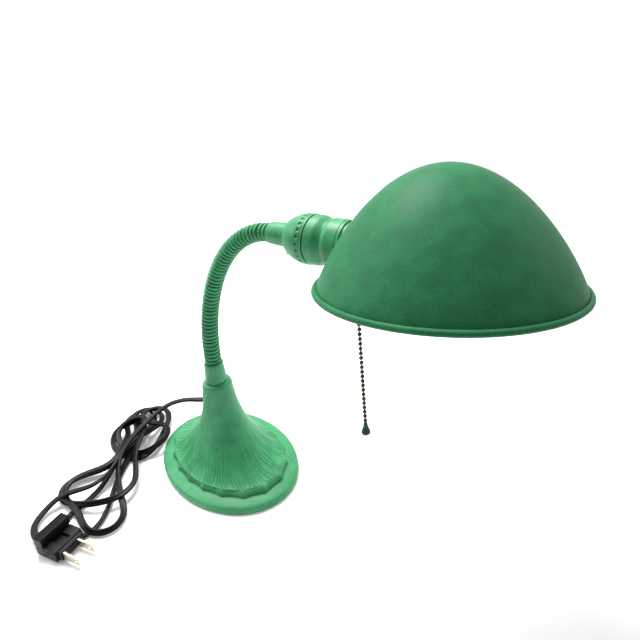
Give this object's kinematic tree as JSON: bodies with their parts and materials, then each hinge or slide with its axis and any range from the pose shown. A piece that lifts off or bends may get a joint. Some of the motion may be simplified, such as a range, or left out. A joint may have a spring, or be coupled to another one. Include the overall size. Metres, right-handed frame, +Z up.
{
  "type": "gooseneck desk lamp",
  "caption": "Gooseneck desk lamp: oval cast base, ribbed flexible neck, pull-chain lamp socket and domed metal shade, with its supply cord and plug.",
  "frame": {"origin": "centre of the base underside, on the surface it stands on", "axes": "+X the way the neck and shade reach, +Z up, +Y to the left of the reach"},
  "size_m": [0.4588, 0.2232, 0.3055],
  "materials": {
    "green_cast": "green enamel paint, satin",
    "green_enamel": "green enamel paint, satin",
    "green_neck": "green enamel paint over wound steel, satin",
    "green_shade": "green enamel paint with a fine orange-peel texture, satin",
    "felt": "pressed felt",
    "zinc_steel": "zinc plated",
    "black_rubber": "matte",
    "cord_black": "soft satin vinyl",
    "plug_plastic": "moulded, satin",
    "blade_metal": "tinned, lightly scratched",
    "fibre_liner": "vulcanised fibre",
    "phenolic": "moulded phenolic",
    "screw_brass": "plain brass",
    "dark_brass": "darkened brass"
  },
  "bodies": {
    "base": {"base_casting": "green_cast", "felt_pad": "felt", "base_nipple": "zinc_steel", "base_washer": "zinc_steel", "base_locknut": "zinc_steel", "ferrule_lower": "green_enamel", "cord_bushing": "black_rubber", "supply_lead": "cord_black", "cord_lead": "cord_black", "cord_hank": "cord_black", "cord_tail": "cord_black", "plug_body": "plug_plastic", "plug_cover": "plug_plastic", "plug_blades": "blade_metal"},
    "neck_01": {"neck_link_01": "green_neck"},
    "neck_02": {"neck_link_02": "green_neck"},
    "neck_03": {"neck_link_03": "green_neck"},
    "neck_04": {"neck_link_04": "green_neck"},
    "neck_05": {"neck_link_05": "green_neck"},
    "neck_06": {"neck_link_06": "green_neck"},
    "neck_07": {"neck_link_07": "green_neck"},
    "neck_08": {"neck_link_08": "green_neck"},
    "neck_09": {"neck_link_09": "green_neck"},
    "neck_10": {"neck_link_10": "green_neck"},
    "neck_11": {"neck_link_11": "green_neck"},
    "neck_12": {"neck_link_12": "green_neck"},
    "neck_13": {"neck_link_13": "green_neck"},
    "neck_14": {"neck_link_14": "green_neck"},
    "neck_15": {"neck_link_15": "green_neck"},
    "head": {"ferrule_upper": "green_enamel", "head_nipple": "zinc_steel", "head_locknut": "zinc_steel", "socket_cap": "green_enamel", "cap_set_screw": "green_enamel", "socket_shell": "green_enamel", "insulating_liner": "fibre_liner", "switch_housing": "phenolic", "screw_shell": "screw_brass", "centre_contact": "screw_brass", "terminal_screws": "screw_brass", "lock_ring": "green_enamel", "head_leads": "cord_black", "switch_pin": "zinc_steel", "lever_spring": "zinc_steel", "chain_guide": "dark_brass"},
    "shade_body": {"shade": "green_shade", "shade_collar": "green_enamel"},
    "lever_body": {"pull_lever": "screw_brass"},
    "ratchet_body": {"ratchet_wheel": "phenolic"},
    "chain_upper": {"chain_top": "dark_brass"},
    "chain_centre": {"chain_middle": "dark_brass"},
    "chain_lower": {"chain_end": "dark_brass", "bell_pull": "green_enamel"}
  },
  "joints": [
    {"name": "neck_bend", "type": "hinge", "parent": "base", "child": "neck_01", "pos_m": [0, 0, 0.111], "axis": [0, 1, 0], "range_deg": [-6, 2]},
    {"name": "neck_sway", "type": "hinge", "parent": "neck_01", "child": "neck_02", "pos_m": [0.00128, 0, 0.13363], "axis": [0.9941, 0, -0.1084], "range_deg": [-5, 5]},
    {"name": "neck_bend_2", "type": "hinge", "parent": "neck_02", "child": "neck_03", "pos_m": [0.0043, 0, 0.15228], "axis": [0, 1, 0], "range_deg": [-6, 2]},
    {"name": "neck_sway_2", "type": "hinge", "parent": "neck_03", "child": "neck_04", "pos_m": [0.00801, 0, 0.16692], "axis": [0.9585, 0, -0.2852], "range_deg": [-5, 5]},
    {"name": "neck_bend_3", "type": "hinge", "parent": "neck_04", "child": "neck_05", "pos_m": [0.01292, 0, 0.18122], "axis": [0, 1, 0], "range_deg": [-6, 2]},
    {"name": "neck_sway_3", "type": "hinge", "parent": "neck_05", "child": "neck_06", "pos_m": [0.01742, 0, 0.19162], "axis": [0.9018, 0, -0.4321], "range_deg": [-5, 5]},
    {"name": "neck_bend_4", "type": "hinge", "parent": "neck_06", "child": "neck_07", "pos_m": [0.0227, 0, 0.20164], "axis": [0, 1, 0], "range_deg": [-6, 2]},
    {"name": "neck_sway_4", "type": "hinge", "parent": "neck_07", "child": "neck_08", "pos_m": [0.02882, 0, 0.21119], "axis": [0.8143, 0, -0.5805], "range_deg": [-5, 5]},
    {"name": "neck_bend_5", "type": "hinge", "parent": "neck_08", "child": "neck_09", "pos_m": [0.03584, 0, 0.22008], "axis": [0, 1, 0], "range_deg": [-6, 2]},
    {"name": "neck_sway_5", "type": "hinge", "parent": "neck_09", "child": "neck_10", "pos_m": [0.04107, 0, 0.22553], "axis": [0.691, 0, -0.7228], "range_deg": [-5, 5]},
    {"name": "neck_bend_6", "type": "hinge", "parent": "neck_10", "child": "neck_11", "pos_m": [0.04676, 0, 0.23051], "axis": [0, 1, 0], "range_deg": [-6, 2]},
    {"name": "neck_sway_6", "type": "hinge", "parent": "neck_11", "child": "neck_12", "pos_m": [0.0529, 0, 0.23491], "axis": [0.5365, 0, -0.8439], "range_deg": [-5, 5]},
    {"name": "neck_bend_7", "type": "hinge", "parent": "neck_12", "child": "neck_13", "pos_m": [0.05949, 0, 0.23861], "axis": [0, 1, 0], "range_deg": [-6, 2]},
    {"name": "neck_sway_7", "type": "hinge", "parent": "neck_13", "child": "neck_14", "pos_m": [0.06649, 0, 0.24146], "axis": [0.3109, 0, -0.9505], "range_deg": [-5, 5]},
    {"name": "neck_bend_8", "type": "hinge", "parent": "neck_14", "child": "neck_15", "pos_m": [0.07382, 0, 0.24329], "axis": [0, 1, 0], "range_deg": [-6, 2]},
    {"name": "neck_sway_8", "type": "hinge", "parent": "neck_15", "child": "head", "pos_m": [0.08134, 0, 0.24395], "axis": [0.0434, 0, -0.9991], "range_deg": [-5, 5]},
    {"name": "shade_turn", "type": "hinge", "parent": "head", "child": "shade_body", "pos_m": [0.13434, 0, 0.24395], "axis": [1, 0, 0], "range_deg": [-30, 40]},
    {"name": "chain_pull", "type": "slide", "parent": "head", "child": "chain_upper", "axis": [0, 0, -1], "range_m": [0, 0.006], "stiffness_N_per_m": 250},
    {"name": "lever_turn", "type": "hinge", "parent": "head", "child": "lever_body", "pos_m": [0.15184, -0.008, 0.24195], "axis": [1, 0, 0], "range_deg": [-45, 0]},
    {"name": "ratchet_turn", "type": "hinge", "parent": "head", "child": "ratchet_body", "pos_m": [0.15184, -0.008, 0.24195], "axis": [1, 0, 0], "range_deg": [-90.5, 0]},
    {"name": "chain_swing", "type": "hinge", "parent": "chain_upper", "child": "chain_centre", "pos_m": [0.15184, 0, 0.22052], "axis": [0, 1, 0], "range_deg": [-35, 35]},
    {"name": "chain_sway", "type": "hinge", "parent": "chain_centre", "child": "chain_lower", "pos_m": [0.15184, 0, 0.15167], "axis": [1, 0, 0], "range_deg": [-35, 35]}
  ],
  "couplings": [
    {"joint": "lever_turn", "follows": "chain_pull", "rad_per_m": -125},
    {"joint": "ratchet_turn", "follows": "chain_pull", "rad_per_m": -261.8}
  ]
}
